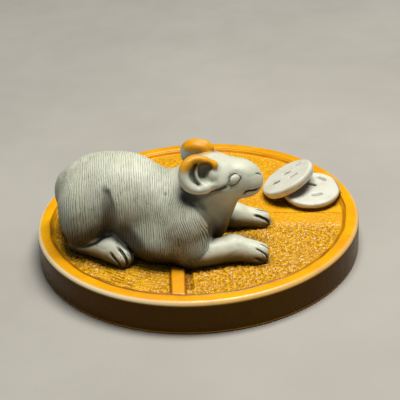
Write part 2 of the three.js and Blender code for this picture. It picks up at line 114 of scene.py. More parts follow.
def arc(centre, radius, thickness, first_angle, last_angle, stretch):
    """A bent round bar in the X, Y plane, angles in degrees."""
    middle = math.radians((first_angle + last_angle) / 2)
    half = math.radians((last_angle - first_angle) / 2)

    def distance(points):
        x = points[:, 0] - centre[0]
        y = points[:, 1] - centre[1]
        z = (points[:, 2] - centre[2]) / stretch
        bend = (np.arctan2(y, x) - middle + math.pi) % (2 * math.pi) - math.pi
        held = np.clip(bend, -half, half)
        thick = thickness[0] + (thickness[1] - thickness[0]) * (held + half) / (2 * half)
        away_x = x - radius * np.cos(middle + held)
        away_y = y - radius * np.sin(middle + held)
        return np.sqrt(away_x ** 2 + away_y ** 2 + z ** 2) - thick
    return distance


def softer(a, b, width):
    overlap = np.maximum(width - np.abs(a - b), 0) / width
    return np.minimum(a, b) - overlap * overlap * width / 4


def joined(base, *additions):
    def distance(points):
        result = base(points)
        for width, shape in additions:
            result = softer(result, shape(points), width)
        return result
    return distance


def carved(base, *cuts):
    def distance(points):
        result = base(points)
        for width, shape in cuts:
            result = -softer(-result, shape(points), width)
        return result
    return distance


def curve_point(stops, share):
    """A smooth curve through the stops, share from 0 to 1."""
    last = len(stops) - 1
    place = min(share * last, last - 1e-9)
    first = int(place)
    w = place - first
    a, b = stops[first], stops[first + 1]
    before = stops[first - 1] if first > 0 else 2 * a - b
    after = stops[first + 2] if first + 2 <= last else 2 * b - a
    leave, arrive = 0.5 * (b - before), 0.5 * (after - a)
    cubic = 2 * a - 2 * b + leave + arrive
    square = -3 * a + 3 * b - 2 * leave - arrive
    return cubic * w ** 3 + square * w ** 2 + leave * w + a


def cord(stops, start_radius, end_radius):
    """A round cord through the stops, tapering evenly."""
    stops = np.array(stops, float)
    pieces = 3 * (len(stops) - 1)
    radii = [start_radius + (end_radius - start_radius) * k / pieces for k in range(pieces + 1)]
    places = [curve_point(stops, k / pieces) for k in range(pieces + 1)]
    bars = [limb(places[k], places[k + 1], radii[k], radii[k + 1]) for k in range(pieces)]
    return near(joined(bars[0], *[(0.2, bar) for bar in bars[1:]]), places, max(radii))


def near(shape, places, radius, margin=6.0):
    """The same shape, measured only close to its places and merely bounded further off."""
    low = np.min(places, 0) - radius - margin
    high = np.max(places, 0) + radius + margin

    def distance(points):
        result = np.full(len(points), margin, np.float32)
        close = ((points > low) & (points < high)).all(1)
        if close.any():
            result[close] = np.minimum(shape(points[close]), margin)
        return result
    return distance


# The rat, in millimetres: X to the nose, Y to its left, Z up from the field

def ear_axes(side):
    outward = np.array([0.2, side * 0.9, 0.4])
    outward /= np.linalg.norm(outward)
    upward = np.array([0.02, -side * 0.4, 0.92])
    upward -= outward * (upward @ outward)
    upward /= np.linalg.norm(upward)
    forward = np.cross(upward, outward) * -side
    return np.stack([forward, upward, outward], 1).astype(np.float32)


def placed(shape, centre, axes, radius=11):
    """The same shape, turned to the axes and moved to the centre."""
    centre = np.array(centre, np.float32)
    return near(lambda points: shape((points - centre) @ axes), [centre], radius)


def ear(centre, side, hook):
    """An open cup with a rolled edge that ends in a hook at the front, and a thin fold inside it."""
    axes = ear_axes(side)
    cup = carved(
        ellipsoid([-0.3, 0.3, -2.4], [7.2, 7.8, 4.0]),
        (1.0, ellipsoid([1.0, 0.4, 1.2], [5.4, 6.0, 3.8])),
    )
    edge = joined(
        arc([0, 0, -0.6], 6.3, [1.6, 1.8], 62, 298, 1.15),
        (1.0, arc([0.3, 0, -1.0], 5.7, [1.9, 1.9], 135, 245, 1.2)),
        (1.0, limb([3.0, 5.6, -0.6], hook, 1.6, 1.9)),
    )
    fold = arc([4.6, 0.6, -1.1], 5.2, [0.75, 0.85], 120, 290, 1.5)
    bump = ellipsoid([6.4, -0.6, -2.0], [2.6, 3.4, 2.6])
    lobe = limb([3.0, -5.5, -0.8], [11.0, -3.6, -3.6], 1.8, 1.5)
    whole = joined(cup, (0.5, edge), (0.5, fold), (1.0, bump), (2.0, lobe))
    hollow = joined(
        ellipsoid([2.4, 1.4, 0], [2.2, 3.5, 4.6]),
        (1, ellipsoid([3.3, 3.0, 0], [2.7, 1.8, 4.2])),
    )
    return [placed(one, centre, axes) for one in (whole, hollow)]


EARS = [ear([1.1, -11.2, 39.1], -1, [6.8, 3.7, -1.0]), ear([2.2, 10.2, 38.8], 1, [4.6, 4.4, -1.2])]


def foot(heel, ankle, toe, radii):
    bars = joined(limb(heel, ankle, radii[0], radii[1]), (2, limb(ankle, toe, radii[1], radii[2])))
    return near(bars, [heel, ankle, toe], max(radii))


HIND_FOOT = foot([-50.2, 1.6, 4], [-36.5, -8.8, 5.5], [-31.5, -12.6, 3.4], [5, 5.2, 4.4])


def shoulder(side):
    return joined(
        ellipsoid([-6, side * 9.8, 13.5], [11, 11.2, 16], -side * 8, -16),
        (4, ellipsoid([-2.5, side * 14.5, 5.5], [8, 7.4, 7])),
    )


# How much slimmer than round the throat is
NARROWED = np.array([1.0, 1.14, 1.0], np.float32)


def figure():
    trunk = joined(
        ellipsoid([-40.5, 15, 18.5], [18.2, 18.6, 18], -28, 4),
        (5, ellipsoid([-53.6, 20, 18.5], [6.5, 7, 9])),
        (6, ellipsoid([-30, 8, 19.4], [20, 19, 20.4], -16, 4)),
        (9, ellipsoid([-8, 1, 14.5], [17, 18.5, 17.5], 0, 6)),
        (5, ellipsoid([-15, -2, 8.5], [20, 17.2, 11], -38)),
        (3, ellipsoid([-34, 27, 15], [13, 10, 16], -30)),
        (1.5, limb([-40, 33, 4], [-23, 31.5, 4], 5, 4.4)),
        (5, ellipsoid([-46.2, 3.6, 14.6], [11.8, 11.6, 16], -30)),
    )
    crease = cord(
        [[-36.4, -6.2, 30.5], [-36.1, -8.8, 26], [-36.2, -10.6, 20], [-36.9, -10.4, 12.5]], 0.7, 3.4)
    undercut = cord(
        [[-53, -4.6, 2.8], [-47.5, -8.0, 6.0], [-43.1, -10.4, 9.0], [-38.6, -10.2, 11.8]], 1.4, 2.8)
    tail = cord(
        [[-54, 20, 11], [-56, 31, 5], [-46, 40, 3.2], [-28, 43, 2.6], [-10, 41, 2.2], [4, 35, 1.6]],
        5.4, 1.5)
    throat = limb([2.5, 0.5, 12], [8, 0.3, 27], 10.5, 10.8)
    neck = joined(
        lambda points: throat(points * NARROWED),
        (4, limb([-9, 0.5, 19], [3, 0.3, 29.5], 12.5, 11)),
    )
    head = carved(
        joined(
            ellipsoid([6.0, 0.3, 31.4], [12.6, 12.5, 10.0], 0, -14),
            (4, limb([9, 0.3, 30.8], [20.6, 0, 29.6], 9.6, 7.3)),
        ),
        (1.0, ellipsoid([4.6, -14.3, 24.4], [12.6, 5.6, 7.6], 0, 8)),
        (1.0, ellipsoid([4.6, 14.9, 24.4], [12.6, 5.6, 7.6], 0, 8)),
    )
    whole = joined(
        carved(trunk, (2, crease), (1.2, undercut)),
        (0.8, HIND_FOOT),
        (1.2, tail),
        (5, neck),
        (1.4, shoulder(-1)),
        (1.4, shoulder(1)),
        (1, foot([2, -16, 5], [14, -12.8, 5], [24.2, -14.8, 3.2], [5.4, 5.4, 4.6])),
        (1, foot([2, 16.4, 5.4], [16, 14.7, 4.8], [27.4, 14.2, 2.6], [5.6, 5.2, 3.9])),
        (1.6, head),
        (0.8, EARS[0][0]),
        (0.8, EARS[1][0]),
        (2.0, ellipsoid([18.6, 0.3, 33.4], [6.8, 6.6, 5.3], 0, -14)),
        (0.4, ellipsoid([15.7, -7.9, 34.3], [3.0, 1.5, 2.2], 35, 12)),
        (0.4, ellipsoid([15.7, 8.5, 34.3], [3.0, 1.5, 2.2], -35, 12)),
    )
    mouth = ellipsoid([25, 0, 23.6], [7, 8, 0.8], 0, 14)
    gaps = [cord([[6, side * 13.6, 29.8], [0, side * 14.4, 29.6], [-5, side * 13.6, 30.4]], 1.2, 2.2)
            for side in (-1, 1)]
    return carved(whole, (0.6, mouth), (1.4, gaps[0]), (1.4, gaps[1]), (0.6, EARS[0][1]), (0.6, EARS[1][1]))


# Facets of a distance

CORNERS = [np.array([bits & 1, bits >> 1 & 1, bits >> 2 & 1]) for bits in range(8)]


def sampled(distance, low, high, step):
    """The distance on a grid, measured finely only in the blocks that the surface crosses."""
    blocks = [math.ceil(span / (COARSE_CELLS * step)) for span in high - low]
    ids = np.indices(blocks).reshape(3, -1).T.copy()
    coarse = distance((low + (ids + 0.5) * COARSE_CELLS * step).astype(np.float32))
    half = COARSE_CELLS * step * math.sqrt(3) / 2
    fine = ids[np.abs(coarse) < BLOCK_MARGIN * half]
    values = coarse.reshape(blocks)
    for axis in range(3):
        values = np.repeat(values, COARSE_CELLS, axis)
    values = np.pad(values, (0, 1), mode="edge")
    local = np.indices([COARSE_CELLS + 1] * 3).reshape(3, -1).T.copy()
    batch = 400
    for first in range(0, len(fine), batch):
        nodes = (fine[first:first + batch, None, :] * COARSE_CELLS + local).reshape(-1, 3)
        found = distance((low + nodes * step).astype(np.float32))
        values[nodes[:, 0], nodes[:, 1], nodes[:, 2]] = found
    return values


def fill_pinches(values):
    """Fills the spots where stone would touch stone only along an edge or at a corner."""
    filled = -0.02
    corners = ([0, 0, 0], [0, 1, 0], [0, 1, 1], [0, 0, 1])
    changed = True
    while changed:
        changed = False
        inside = values < 0
        for axis in range(3):
            moved = np.moveaxis(inside, axis, 0)
            view = np.moveaxis(values, axis, 0)
            a, b = moved[:, :-1, :-1], moved[:, 1:, :-1]
            c, d = moved[:, 1:, 1:], moved[:, :-1, 1:]
            for place in np.argwhere((a == c) & (b == d) & (a != b)):
                square = [tuple(place + offset) for offset in corners]
                outside = [corner for corner in square if view[corner] >= 0]
                if len(outside) == 2:
                    view[outside[0]] = filled
                    changed = True
    return values


def netted(values, low, step):
    """One vertex in every grid cell the surface crosses, and a square over every crossed edge."""
    inside = values < 0
    shape = np.array(values.shape)
    stride = np.array([shape[1] * shape[2], shape[2], 1])
    flat = values.ravel()
    cells, points, rings = [], [], []
    for axis in range(3):
        start = np.argwhere(np.diff(inside, axis=axis))
        u, v = (axis + 1) % 3, (axis + 2) % 3
        start = start[(start[:, u] > 0) & (start[:, v] > 0)]
        at = start @ stride
        share = flat[at] / (flat[at] - flat[at + stride[axis]])
        crossing = start.astype(np.float64)
        crossing[:, axis] += share
        corners = [at, at - stride[u], at - stride[u] - stride[v], at - stride[v]]
        cells += corners
        points += [crossing] * 4
        corners = np.stack(corners, 1)
        rings.append(np.where(flat[at][:, None] < 0, corners, corners[:, ::-1]))
    cells, points = np.concatenate(cells), np.concatenate(points)
    owners, which = np.unique(cells, return_inverse=True)
    total = np.bincount(which)
    vertices = np.stack([np.bincount(which, points[:, k]) / total for k in range(3)], 1)
    faces = np.searchsorted(owners, np.concatenate(rings))
    return low + vertices * step, faces


def mesh_object(name, vertices, faces):
    """A mesh from points in millimetres and faces as rows of corners."""
    mesh = bpy.data.meshes.new(name)
    mesh.from_pydata((np.asarray(vertices) * MM).tolist(), [], [list(map(int, face)) for face in faces])
    mesh.validate()
    thing = bpy.data.objects.new(name, mesh)
    bpy.context.collection.objects.link(thing)
    return thing


def applied(thing, kind, **settings):
    modifier = thing.modifiers.new(kind, kind)
    for key, value in settings.items():
        setattr(modifier, key, value)
    with bpy.context.temp_override(object=thing, active_object=thing, selected_objects=[thing]):
        bpy.ops.object.modifier_apply(modifier=modifier.name)


def thinned(thing, wanted):
    """Folds edges away until about the wanted number of triangles is left."""
    now = sum(len(polygon.vertices) - 2 for polygon in thing.data.polygons)
    applied(thing, "DECIMATE", ratio=wanted / now, use_collapse_triangulate=True)


def read_rows(vertices, key):
    found = np.empty(3 * len(vertices), np.float32)
    vertices.foreach_get(key, found)
    return found.reshape(-1, 3)


def points_of(mesh):
    return read_rows(mesh.vertices, "co") / MM


def normals_of(mesh):
    return read_rows(mesh.vertex_normals, "vector")


# Noise and marks

def step_up(low, high, value):
    share = np.clip((value - low) / (high - low), 0, 1)
    return share * share * (3 - 2 * share)


LATTICE = 64
GRAINS = np.random.default_rng(11).uniform(-1, 1, (LATTICE, LATTICE, LATTICE)).astype(np.float32)


def radius_of(points):
    return np.hypot(points[:, 0], points[:, 1])


def noise(points, size, shift=0.0):
    """Smooth random values from -1 to 1 that change over about the given size."""
    scaled = points / size + shift
    first = np.floor(scaled).astype(int)
    share = scaled - first
    share = share * share * (3 - 2 * share)
    total = 0
    for corner in CORNERS:
        at = (first + corner) % LATTICE
        weight = np.where(corner, share, 1 - share).prod(1)
        total = total + weight * GRAINS[at[:, 0], at[:, 1], at[:, 2]]
    return total


def from_line(points, stops):
    """How far each point is from a line of straight pieces, and its share along the line."""
    stops = np.array(stops, np.float32)
    nearest = np.full(len(points), 1e3, np.float32)
    share = np.zeros(len(points), np.float32)
    last = len(stops) - 1
    for piece in range(last):
        along = stops[piece + 1] - stops[piece]
        offset = points - stops[piece]
        reach = np.clip(offset @ along / (along @ along), 0, 1)
        away = np.linalg.norm(offset - reach[:, None] * along, axis=1)
        closer = away < nearest
        nearest[closer] = away[closer]
        share[closer] = (piece + reach[closer]) / last
    return nearest, share


def laid(stops, shape, count):
    """A smooth line through the stops, laid onto the surface of the shape."""
    stops = np.array(stops, float)
    line = np.array([curve_point(stops, share) for share in np.linspace(0, 1, count)], np.float32)
    probe = 0.05
    for _ in range(4):
        gap = shape(line)
        slope = np.stack([shape(line + probe * axis) - gap for axis in np.eye(3, dtype=np.float32)], 1)
        slope /= np.maximum(np.linalg.norm(slope, axis=1), 1e-6)[:, None]
        line = line - slope * gap[:, None]
    return line


def mirrored(stops):
    """The same stops on the other side of the head."""
    return [[x, 2 * HEAD_MIDDLE - y, z] for x, y, z in stops]


def all_marks(shape):
    """Every carved line of the rat on its surface, with its width and depth."""
    marks = FACE_MARKS + NEAR_MARKS + FAR_MARKS
    marks += [(mirrored(stops), width, depth) for stops, width, depth in FACE_MARKS]
    return [(laid(stops, shape, 5 * len(stops)), width, depth) for stops, width, depth in marks]


def marks_depth(points, marks):
    """How deep the carved lines cut. They run out at both ends."""
    total = np.zeros(len(points), np.float32)
    for line, width, depth in marks:
        close = ((points > line.min(0) - 3) & (points < line.max(0) + 3)).all(1)
        away, share = from_line(points[close], line)
        ends = np.minimum(1, 0.35 + 4 * np.minimum(share, 1 - share))
        total[close] = np.maximum(total[close], depth * ends * np.exp(-(away / width) ** 2))
    return total


def drawn_lines(points, normals, marks):
    """For a crisp line of painted shade: the distance to the nearest cut line in widths, negative on one
    side of it, and how dark the painted shade is there."""
    across = np.full(len(points), 9.0, np.float32)
    dark = np.zeros(len(points), np.float32)
    for line, width, depth in marks:
        closed = np.linalg.norm(line[0] - line[-1]) < 0.5
        chosen = np.flatnonzero(((points > line.min(0) - 2) & (points < line.max(0) + 2)).all(1))
        away, share = from_line(points[chosen], line)
        last = len(line) - 1
        first = np.minimum((share * last).astype(int), last - 1)
        along, normal = line[first + 1] - line[first], normals[chosen]
        nearest = line[first] + (share * last - first)[:, None] * along
        offset = points[chosen] - nearest
        offset -= (offset * normal).sum(1)[:, None] * normal
        outward = nearest - line.mean(0) if closed else np.cross(along, normal)
        side = np.sign((outward * offset).sum(1)) * np.linalg.norm(offset, axis=1) / width
        ends = 1 if closed else np.minimum(1, 7 * np.minimum(share, 1 - share))
        reach = 1.2 * width + depth
        strength = step_up(0.05, 0.5, depth) * ends * step_up(reach + 0.7, reach + 0.3, away)
        closer = (away < reach + 0.7) & (np.abs(side) < np.abs(across[chosen]))
        across[chosen[closer]] = side[closer]
        dark[chosen[closer]] = strength[closer]
    return across, dark


HEAD_MIDDLE = 0.3
EYE = [
    [12.9, -10.1, 33.6], [13.6, -9.5, 34.8], [13.8, -8.6, 35.7], [14.7, -7.5, 36.2], [16.1, -6.6, 36.2],
    [17.4, -6.9, 35.7], [18.4, -6.7, 34.4], [17.8, -7.6, 33.6], [16.6, -8.6, 32.9], [15.1, -9.4, 32.5],
    [14, -9.9, 32.8], [12.9, -10.1, 33.6],
]
# Lines of the head's near side, then of the near and the far body, with their width and depth; each is cut
# in and gets painted shade along it
FACE_MARKS = [
    (EYE, 0.34, 0.36),
    ([[14.3, -7.1, 37], [16.4, -5.7, 36.8], [18.4, -5.5, 35.8], [20, -6.1, 34.4]], 0.7, 0.14),
    ([[20.8, -5.9, 34.2], [22.7, -5.4, 34], [24.4, -4.2, 34.2]], 0.5, 0.1),
    ([[24.4, -4.2, 34.2], [25.6, -3.1, 34], [26.7, -2.1, 33], [27.1, -2, 32.3]], 0.35, 0.34),
    ([[19, -6.8, 26.1], [20, -7.2, 27.7], [21.1, -7.2, 28.3], [22.5, -6.9, 28.2], [23.9, -6.3, 28.1],
      [25.2, -5.5, 28], [26.2, -4.5, 28.2]], 0.4, 0.7),
    ([[13.3, -10.1, 33], [11.5, -11.1, 32.5], [9.6, -11.8, 32.2], [7.2, -11.9, 31.5], [3.1, -11.2, 30.1]],
     1, 0.5),
]
NEAR_MARKS = [
    ([[-5.2, -11, 30.1], [0.6, -15.3, 24.6], [4.4, -13.8, 15.8], [5.1, -14.6, 10.4]], 1.3, 0.26),
    ([[-52, -3.2, 3.6], [-47.5, -6.5, 6.2], [-43.1, -8.5, 8.6], [-38.8, -7.8, 10.8],
      [-36.1, -8.7, 13.1]], 0.8, 0.5),
    ([[-36.6, -14.6, 6.9], [-35.5, -15.3, 5.3], [-34.4, -16, 4], [-33.4, -16.5, 2.4],
      [-33, -16.1, -0.6]], 0.5, 0.95),
    ([[-33.5, -13.2, 8.7], [-32.2, -14.4, 7.6], [-31, -15.9, 6.3], [-30.1, -16.7, 4.5],
      [-29.9, -16.6, 2.5], [-30.1, -16.2, -0.4]], 0.5, 1),
    ([[-30.2, -11.4, 9], [-28.6, -12.8, 7.3], [-27.9, -14, 5.6], [-27.6, -14.7, 3.6],
      [-28.1, -15, -0.2]], 0.5, 0.9),
    ([[-41.4, -11, 8.1], [-39.2, -13, 8.2], [-37.4, -13.7, 8.3]], 0.9, 0.12),
    ([[16.4, -13, 10.4], [16.1, -15.1, 10.1], [16.1, -16.7, 9.1], [16.3, -17.7, 7.8]], 1.4, 0.14),
    ([[11.9, -19, 4.1], [13.6, -18.9, 5.1], [15, -18.5, 6.5], [16.2, -17.9, 7.7]], 0.6, 0.08),
    ([[23, -17.5, 7.1], [24.1, -18, 6.5], [25.5, -18.2, 5.5], [26.9, -17.9, 3.8], [27.4, -17.6, 1.4]],
     0.36, 0.5),
    ([[24.6, -14.8, 7.9], [25.9, -15.3, 7.3], [27.1, -15.5, 6.2], [28.1, -15, 4.5], [28.6, -15, 2]],
     0.34, 0.45),
    ([[22.5, -19.1, 2.9], [23.9, -19.2, 2.7], [24.9, -18.6, 1.6], [25.6, -17.9, 0.6]], 0.6, 1),
]
FAR_MARKS = [
    ([[16.8, 12, 9.4], [17, 10, 6], [16.8, 9.6, 3]], 0.7, 0.08),
    ([[24.1, 11.3, 6], [25.8, 11.4, 5.5], [27.5, 11.4, 4.5], [29, 11.9, 3.2], [30, 12.4, 1.2]],
     0.5, 0.9),
    ([[25, 14.6, 6.8], [27.6, 14.6, 6], [30.2, 14.8, 3.6], [31.2, 14.8, 1.4]], 0.4, 0.6),
    ([[24.6, 17, 5.8], [27, 17.4, 4.8], [29.6, 17, 2]], 0.45, 0.8),
]
# Painted shade in the hollows: a line, how far it reaches at both ends and how dark it is there
PAINTED_SHADE_LINES = [
    ([[-37.2, -4.6, 32.6], [-37, -6.4, 29.3], [-36.9, -7.9, 25.5], [-36.8, -8.6, 21.2],
      [-37, -8.3, 16.2], [-36.6, -9, 12]], (1.6, 6.4), (0.5, 1)),
    ([[-4.5, -11.5, 29.6], [-0.6, -11.5, 28.6], [3.1, -11.2, 29.2], [8, -11.9, 30.8],
      [12, -10.9, 32.2]], (5, 1.8), (1, 0.6)),
    ([[-53, -4.1, 7.4], [-49.3, -6.8, 9.3], [-45, -7.8, 11], [-41.1, -8.2, 13],
      [-38, -8.1, 14.8]], (4.8, 7), (0.8, 1)),
    ([[-30.5, -11, 14], [-26.6, -14.1, 11.4], [-24.6, -16.1, 7.4], [-19, -18.6, 4.2],
      [-11, -18, 2.4]], (7.4, 5.4), (1, 0.85)),
    ([[1.3, -12.7, 26.6], [3.4, -13.4, 21.5], [5.4, -12.2, 16.5], [6.8, -9.8, 11.8]],
     (3.2, 5.4), (0.6, 0.95)),
]
# Brown grains of the stone, with how far they reach
INCLUSIONS = [((-12.7, -8.7, 30.0), 0.9), ((-44.2, 1.8, 34.3), 0.7), ((-33.6, -10.8, 10.1), 1.1)]
# How far forward the fur reaches at each height
FUR_HEIGHTS = [2, 6, 9, 12, 16, 24.6, 30, 36]
FUR_FRONTS = [-3, 0.5, 4, 5, 4.4, 0.6, -5.2, -12]
# The width of a strand and how deep the cuts between strands go
STRAND = 0.94
FUR_DEPTH = 0.38
# The upright axis that the strands turn about behind, and how far they lie from it
RUMP = (-48.0, 17.0)
RUMP_REACH = 15.0


def fur_of(points):
    """Where the rat has cut fur, and the number of strands along its back to each point."""
    x, z = points[:, 0], points[:, 2]
    front = np.interp(z, FUR_HEIGHTS, FUR_FRONTS)
    amount = step_up(-0.6, 0.8, front - x) * step_up(0.4, 1.6, HIND_FOOT(points))
    follow = step_up(-24, 2, x) * step_up(30, 22, z)
    swept = follow * (front - 4.0)
    behind = RUMP[0] - x
    around = RUMP_REACH * np.arctan2(behind, np.abs(points[:, 1] - RUMP[1]))
    along = np.where(behind > 0, RUMP[0] - around, x)
    wander = 0.6 * noise(points * [1, 0.3, 0.3], 5.0) + 0.34 * noise(points * [1, 0.5, 0.5], 1.7, 7.3)
    crown = step_up(8, 3, np.hypot(behind, points[:, 1] - RUMP[1]))
    amount = amount * (1 - crown * step_up(0, 4, behind))
    strands = (along - swept) / STRAND + wander
    return amount, strands


def painted_shade_at(points):
    """How dark the painted shade lies, from 0 to 1."""
    total = np.zeros(len(points), np.float32)
    for stops, reaches, darkness in PAINTED_SHADE_LINES:
        away, share = from_line(points, stops)
        away = away + 0.5 * noise(points, 2.6, 3.8)
        reach = reaches[0] + (reaches[1] - reaches[0]) * share
        dark = darkness[0] + (darkness[1] - darkness[0]) * share
        total = np.maximum(total, dark * (1 - step_up(0.2, 1.0, away / reach)))
    return total


def carve_figure(thing, marks):
    """Presses the fur, the face and the toes into the rat."""
    mesh = thing.data
    normals = normals_of(mesh)
    points = points_of(mesh) - FIGURE_PLACE
    amount, strands = fur_of(points)
    uneven = 0.6 + 0.5 * noise(points * [1, 0.4, 0.4], 1.9, 3.1)
    cut = amount * uneven * (1 - np.abs(np.sin(math.pi * strands))) ** 1.3
    depth = FUR_DEPTH * cut * (1 - 0.35 * step_up(0.6, 0.95, normals[:, 2]))
    depth += marks_depth(points, marks)
    depth += 0.05 * noise(points, 3.0, 5.5) + 0.03 * noise(points, 1.1, 1.7)
    moved = points + FIGURE_PLACE - normals * depth[:, None]
    mesh.vertices.foreach_set("co", (moved * MM).astype(np.float32).ravel())
    mesh.update()


def build_figure():
    low, high = FIGURE_BOX
    shape = figure()
    values = sampled(shape, low, high, FIGURE_STEP)
    heights = low[2] + np.arange(values.shape[2]) * FIGURE_STEP
    values = np.maximum(values, FIGURE_SUNK - heights).astype(np.float32)
    vertices, faces = netted(fill_pinches(values), low, FIGURE_STEP)
    thing = mesh_object("figure", vertices + FIGURE_PLACE, faces)
    marks = all_marks(shape)
    carve_figure(thing, marks)
    thinned(thing, FIGURE_FACES)
    return thing, shape, marks


# The disc

def ringed(rings):
    """Closed skin over rings of points. The first and the last ring are a single point each."""
    vertices = np.concatenate(rings)
    starts = np.cumsum([0] + [len(ring) for ring in rings])
    faces = []
    for index in range(len(rings) - 1):
        a, b = len(rings[index]), len(rings[index + 1])
        low, high = starts[index], starts[index + 1]
        i, j = int(a == 1), int(b == 1)
        while i < a or j < b:
            if j < b and (i >= a or (j + 1) / b <= (i + 1) / a + 1e-9):
                faces.append([low + i % a, high + j % b, high + (j + 1) % b])
                j += 1
            else:
                faces.append([low + i % a, high + j % b, low + (i + 1) % a])
                i += 1
    return vertices, faces


def ring(radius, height, count):
    angle = np.arange(count) * 2 * math.pi / count
    return np.stack([radius * np.cos(angle), radius * np.sin(angle), np.full(count, height)], 1)


def pits(points, pitch):
    """How near each point is to the middle of a chisel dot, from 0 to 1."""
    size = 160
    shifts = np.random.default_rng(5).uniform(0.12, 0.88, (size, size, 2))
    cell = np.floor(points[:, :2] / pitch).astype(int)
    nearest = np.full(len(points), 4.0)
    for i in (-1, 0, 1):
        for j in (-1, 0, 1):
            at = cell + [i, j]
            centre = (at + shifts[at[:, 0] % size, at[:, 1] % size]) * pitch
            nearest = np.minimum(nearest, np.hypot(*(points[:, :2] - centre).T))
    return 1 - step_up(0.08, 0.62, nearest / pitch)


# The front stroke and the slot beside it: middle, size and turn
FRONT_STROKE = ((-9.3, -51.9), (6.0, 24.0), 0.0)
SLOT = ((-4.9, -49), (2.9, 16), 0)
# The side stroke: middle, turn and half its width
SIDE_STROKE = ((45.4, -6.5), -7.0)
SIDE_STROKE_HALF = 5.0
# The patch with furrows instead of dots: middle and half its size
FURROWED = ((-29, -46), (17, 13))
STROKE_RISE = 0.8
SLOT_DEPTH = 0.7
PIT_DEPTH = 0.8
PIT_PITCH = 1.35
FURROW_PITCH = 1.8
FIELD_MARGIN = 1.2


def block_axes(points, centre, yaw):
    """Places along and across a turned block."""
    a = math.radians(yaw)
    x = points[:, 0] - centre[0]
    y = points[:, 1] - centre[1]
    return x * math.cos(a) + y * math.sin(a), y * math.cos(a) - x * math.sin(a)


def inside_block(points, centre, size, yaw):
    """Distance inside a turned rectangle, negative outside."""
    along, across = block_axes(points, centre, yaw)
    return np.minimum(size[0] / 2 - np.abs(along), size[1] / 2 - np.abs(across))


def field_relief(points):
    """Height of the field over its level, its painted shade in pits, slot and stroke edges, and how rough
    it is.
    """
    wobble = 0.5 * noise(points, 4.0, 9.1)
    reach = radius_of(points)
    front = inside_block(points, *FRONT_STROKE)
    along, across = block_axes(points, *SIDE_STROKE)
    side_edge = SIDE_STROKE_HALF - across - 0.3 * wobble
    side = step_up(-0.1, 0.5, side_edge) * step_up(-8.0, -3.0, across) * step_up(-18.5, -17.5, along)
    raised = np.maximum(step_up(-0.3, 0.4, front + 0.4 * wobble), side)
    plain_band = step_up(-0.4, 0.4, -side_edge) * step_up(12.5, 10.5, across) * step_up(-17, -14, along)
    slot = step_up(-0.5, 0.6, inside_block(points, *SLOT) + 0.3 * wobble)
    middle, size = FURROWED
    x, y = block_axes(points, middle, 0)
    chisel = step_up(1.1, 0.7, np.hypot(x / size[0], y / size[1]) + 0.3 * wobble)
    furrow = np.abs(np.sin(math.pi * (reach + 0.7 * noise(points, 5.0, 3.7)) / FURROW_PITCH)) ** 0.6
    furrow = (1 - furrow) * step_up(-0.6, 0.0, noise(points, 3.2, 6.2))
    dots = pits(points, PIT_PITCH) * (1 - 0.8 * chisel) + 1.3 * furrow * chisel
    calm = 1 - 0.45 * step_up(-12, 8, points[:, 1])
    rough = (1 - step_up(-0.3, 0.4, front)) * (1 - 0.55 * side) * (1 - 0.8 * plain_band) * calm
    height = 0.15 * noise(points, 6.0, 2.2) * rough - PIT_DEPTH * dots * rough
    height = height + 0.06 * noise(points, 1.6, 4.4)
    height = height + STROKE_RISE * raised - SLOT_DEPTH * slot * (1 - raised)
    # Painted shadow along the edges of the raised strokes
    edge = np.maximum(step_up(0.8, 0.2, np.abs(front + 0.4 * wobble)),
                      step_up(1.1, 0.4, np.abs(side_edge)) * step_up(-16.5, -12.5, along))
    # Painted shade in the pits, the slot and along the stroke edges
    hollow = dots * rough + slot * (1 - raised) * 0.9 + edge
    return height, hollow, rough


def wavering(points, amount):
    """The same ring of points, a little uneven as cut by hand."""
    reach = radius_of(points)
    shift = 1 + amount * noise(points, 7.0, 4.9) / reach
    return points * np.stack([shift, shift, np.ones(len(points))], 1)


# How far the line and the shoulder of the rim waver
RIM_WAVER = 0.3
# The line cut round the inner edge of the rim, and the shoulder below it, as radius and height
RIM_STEP = [
    (63, 14), (63.2, 14.5), (63.4, 14.78), (63.6, 14.8), (63.85, 14.5),
    (64.2, 14.45), (64.45, 14.7), (64.6, 14.92), (64.9, 15), (66.2, 15),
]


def rounded(radius, centre_height, first, last, steps=5):
    """Radius and height along a round of the disc's side, angles in degrees."""
    centre = DISC_RADIUS - radius
    angles = np.radians(np.linspace(first, last, steps + 1))
    return [(centre + radius * math.cos(a), centre_height + radius * math.sin(a)) for a in angles]


def build_disc():
    count = round(FIELD_RADIUS / FIELD_FACET)
    spread = FIELD_RADIUS / count
    rings = [ring(0, FIELD_HEIGHT, 1)]
    rings += [ring(index * spread, FIELD_HEIGHT, 6 * index) for index in range(1, count + 1)]
    points = np.concatenate(rings)
    level, _, _ = field_relief(points)
    reach = radius_of(points)
    points[:, 2] += level * step_up(FIELD_RADIUS, FIELD_RADIUS - FIELD_MARGIN, reach)
    rings = np.split(points, np.cumsum([len(one) for one in rings])[:-1])
    segments = 6 * count
    rings += [wavering(ring(radius, height, segments), RIM_WAVER) for radius, height in RIM_STEP]
    low, high = FOOT_RADIUS, DISC_HEIGHT - EDGE_RADIUS
    profile = rounded(EDGE_RADIUS, high, 90, 0, 8)
    steps = DISC_SIDE_STEPS + 1
    profile += [(DISC_RADIUS, high + (low - high) * k / steps) for k in range(1, steps)]
    profile += rounded(FOOT_RADIUS, low, 0, -90)
    rings += [ring(radius, height, segments // 2) for radius, height in profile]
    rings.append(ring(0, 0, 1))
    vertices, faces = ringed(rings)
    return mesh_object("disc", vertices, faces)


# The coins

# Place, facing and depth of the pale layer
COINS = [
    ((50.9, 11.3), (-0.022, -0.122, 0.992), 2.1),
    ((40.3, 16.4), (-0.472, 0.072, 0.879), 3.5),
]
# The stone left standing under each coin: middle and radius
STEMS = [((50.9, 11.3), 10.8), ((37.6, 17.0), 6.4)]
